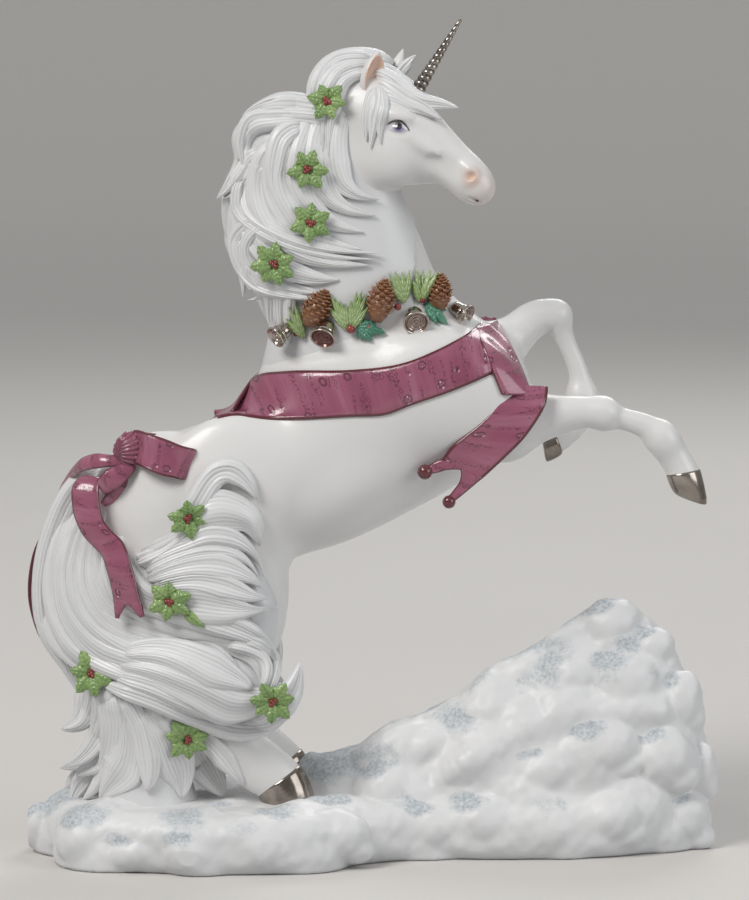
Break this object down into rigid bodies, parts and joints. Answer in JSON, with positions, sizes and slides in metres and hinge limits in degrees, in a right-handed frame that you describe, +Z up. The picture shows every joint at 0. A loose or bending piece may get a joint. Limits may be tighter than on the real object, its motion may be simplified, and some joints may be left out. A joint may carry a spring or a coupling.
{
  "type": "unicorn figurine",
  "caption": "Porcelain unicorn rearing on its hind legs on a snow drift, with curling mane and tail, ribbon sash, bow and a winter collar of bells, cones and pine.",
  "frame": {"origin": "middle of the underside of the snow base, on the surface that the figurine stands on", "axes": "+X the way the unicorn faces, +Y to the unicorn's left, +Z up"},
  "size_m": [0.1754, 0.0771, 0.2084],
  "materials": {
    "berry_red": "gloss",
    "cone_brown": "satin",
    "hair_white": "satin",
    "leaf_green": "satin",
    "pine_pale_green": "satin",
    "platinum_lustre": "polished",
    "porcelain_white": "satin",
    "rose_ribbon": "gloss",
    "snow_white": "gloss"
  },
  "bodies": {
    "root": {"bow_knot": "rose_ribbon", "bow_left_loop": "rose_ribbon", "bow_left_tail": "rose_ribbon", "bow_right_loop": "rose_ribbon", "bow_right_tail": "rose_ribbon", "cheek_lock": "hair_white", "collar_bells": "platinum_lustre", "collar_berries": "berry_red", "collar_holly_leaves": "leaf_green", "collar_pine_cones": "cone_brown", "collar_pine_sprigs": "pine_pale_green", "forelock": "hair_white", "head": "porcelain_white", "horn": "platinum_lustre", "left_ear": "porcelain_white", "left_fore_hoof": "platinum_lustre", "left_foreleg": "porcelain_white", "left_hind_hoof": "platinum_lustre", "left_hind_leg": "porcelain_white", "mane_crest": "hair_white", "mane_leaf_clusters": "leaf_green", "mane_lower": "hair_white", "mane_middle": "hair_white", "neck": "porcelain_white", "neck_strands": "hair_white", "right_ear": "porcelain_white", "right_fore_hoof": "platinum_lustre", "right_foreleg": "porcelain_white", "right_hind_hoof": "platinum_lustre", "right_hind_leg": "porcelain_white", "sash_band": "rose_ribbon", "sash_chest_strap": "rose_ribbon", "sash_drape": "rose_ribbon", "snow_base": "snow_white", "tail_core": "hair_white", "tail_curls": "hair_white", "tail_leaf_clusters": "leaf_green", "tail_outer": "hair_white", "tail_skirt": "hair_white", "tail_sweeps": "hair_white", "torso": "porcelain_white"}
  },
  "joints": []
}
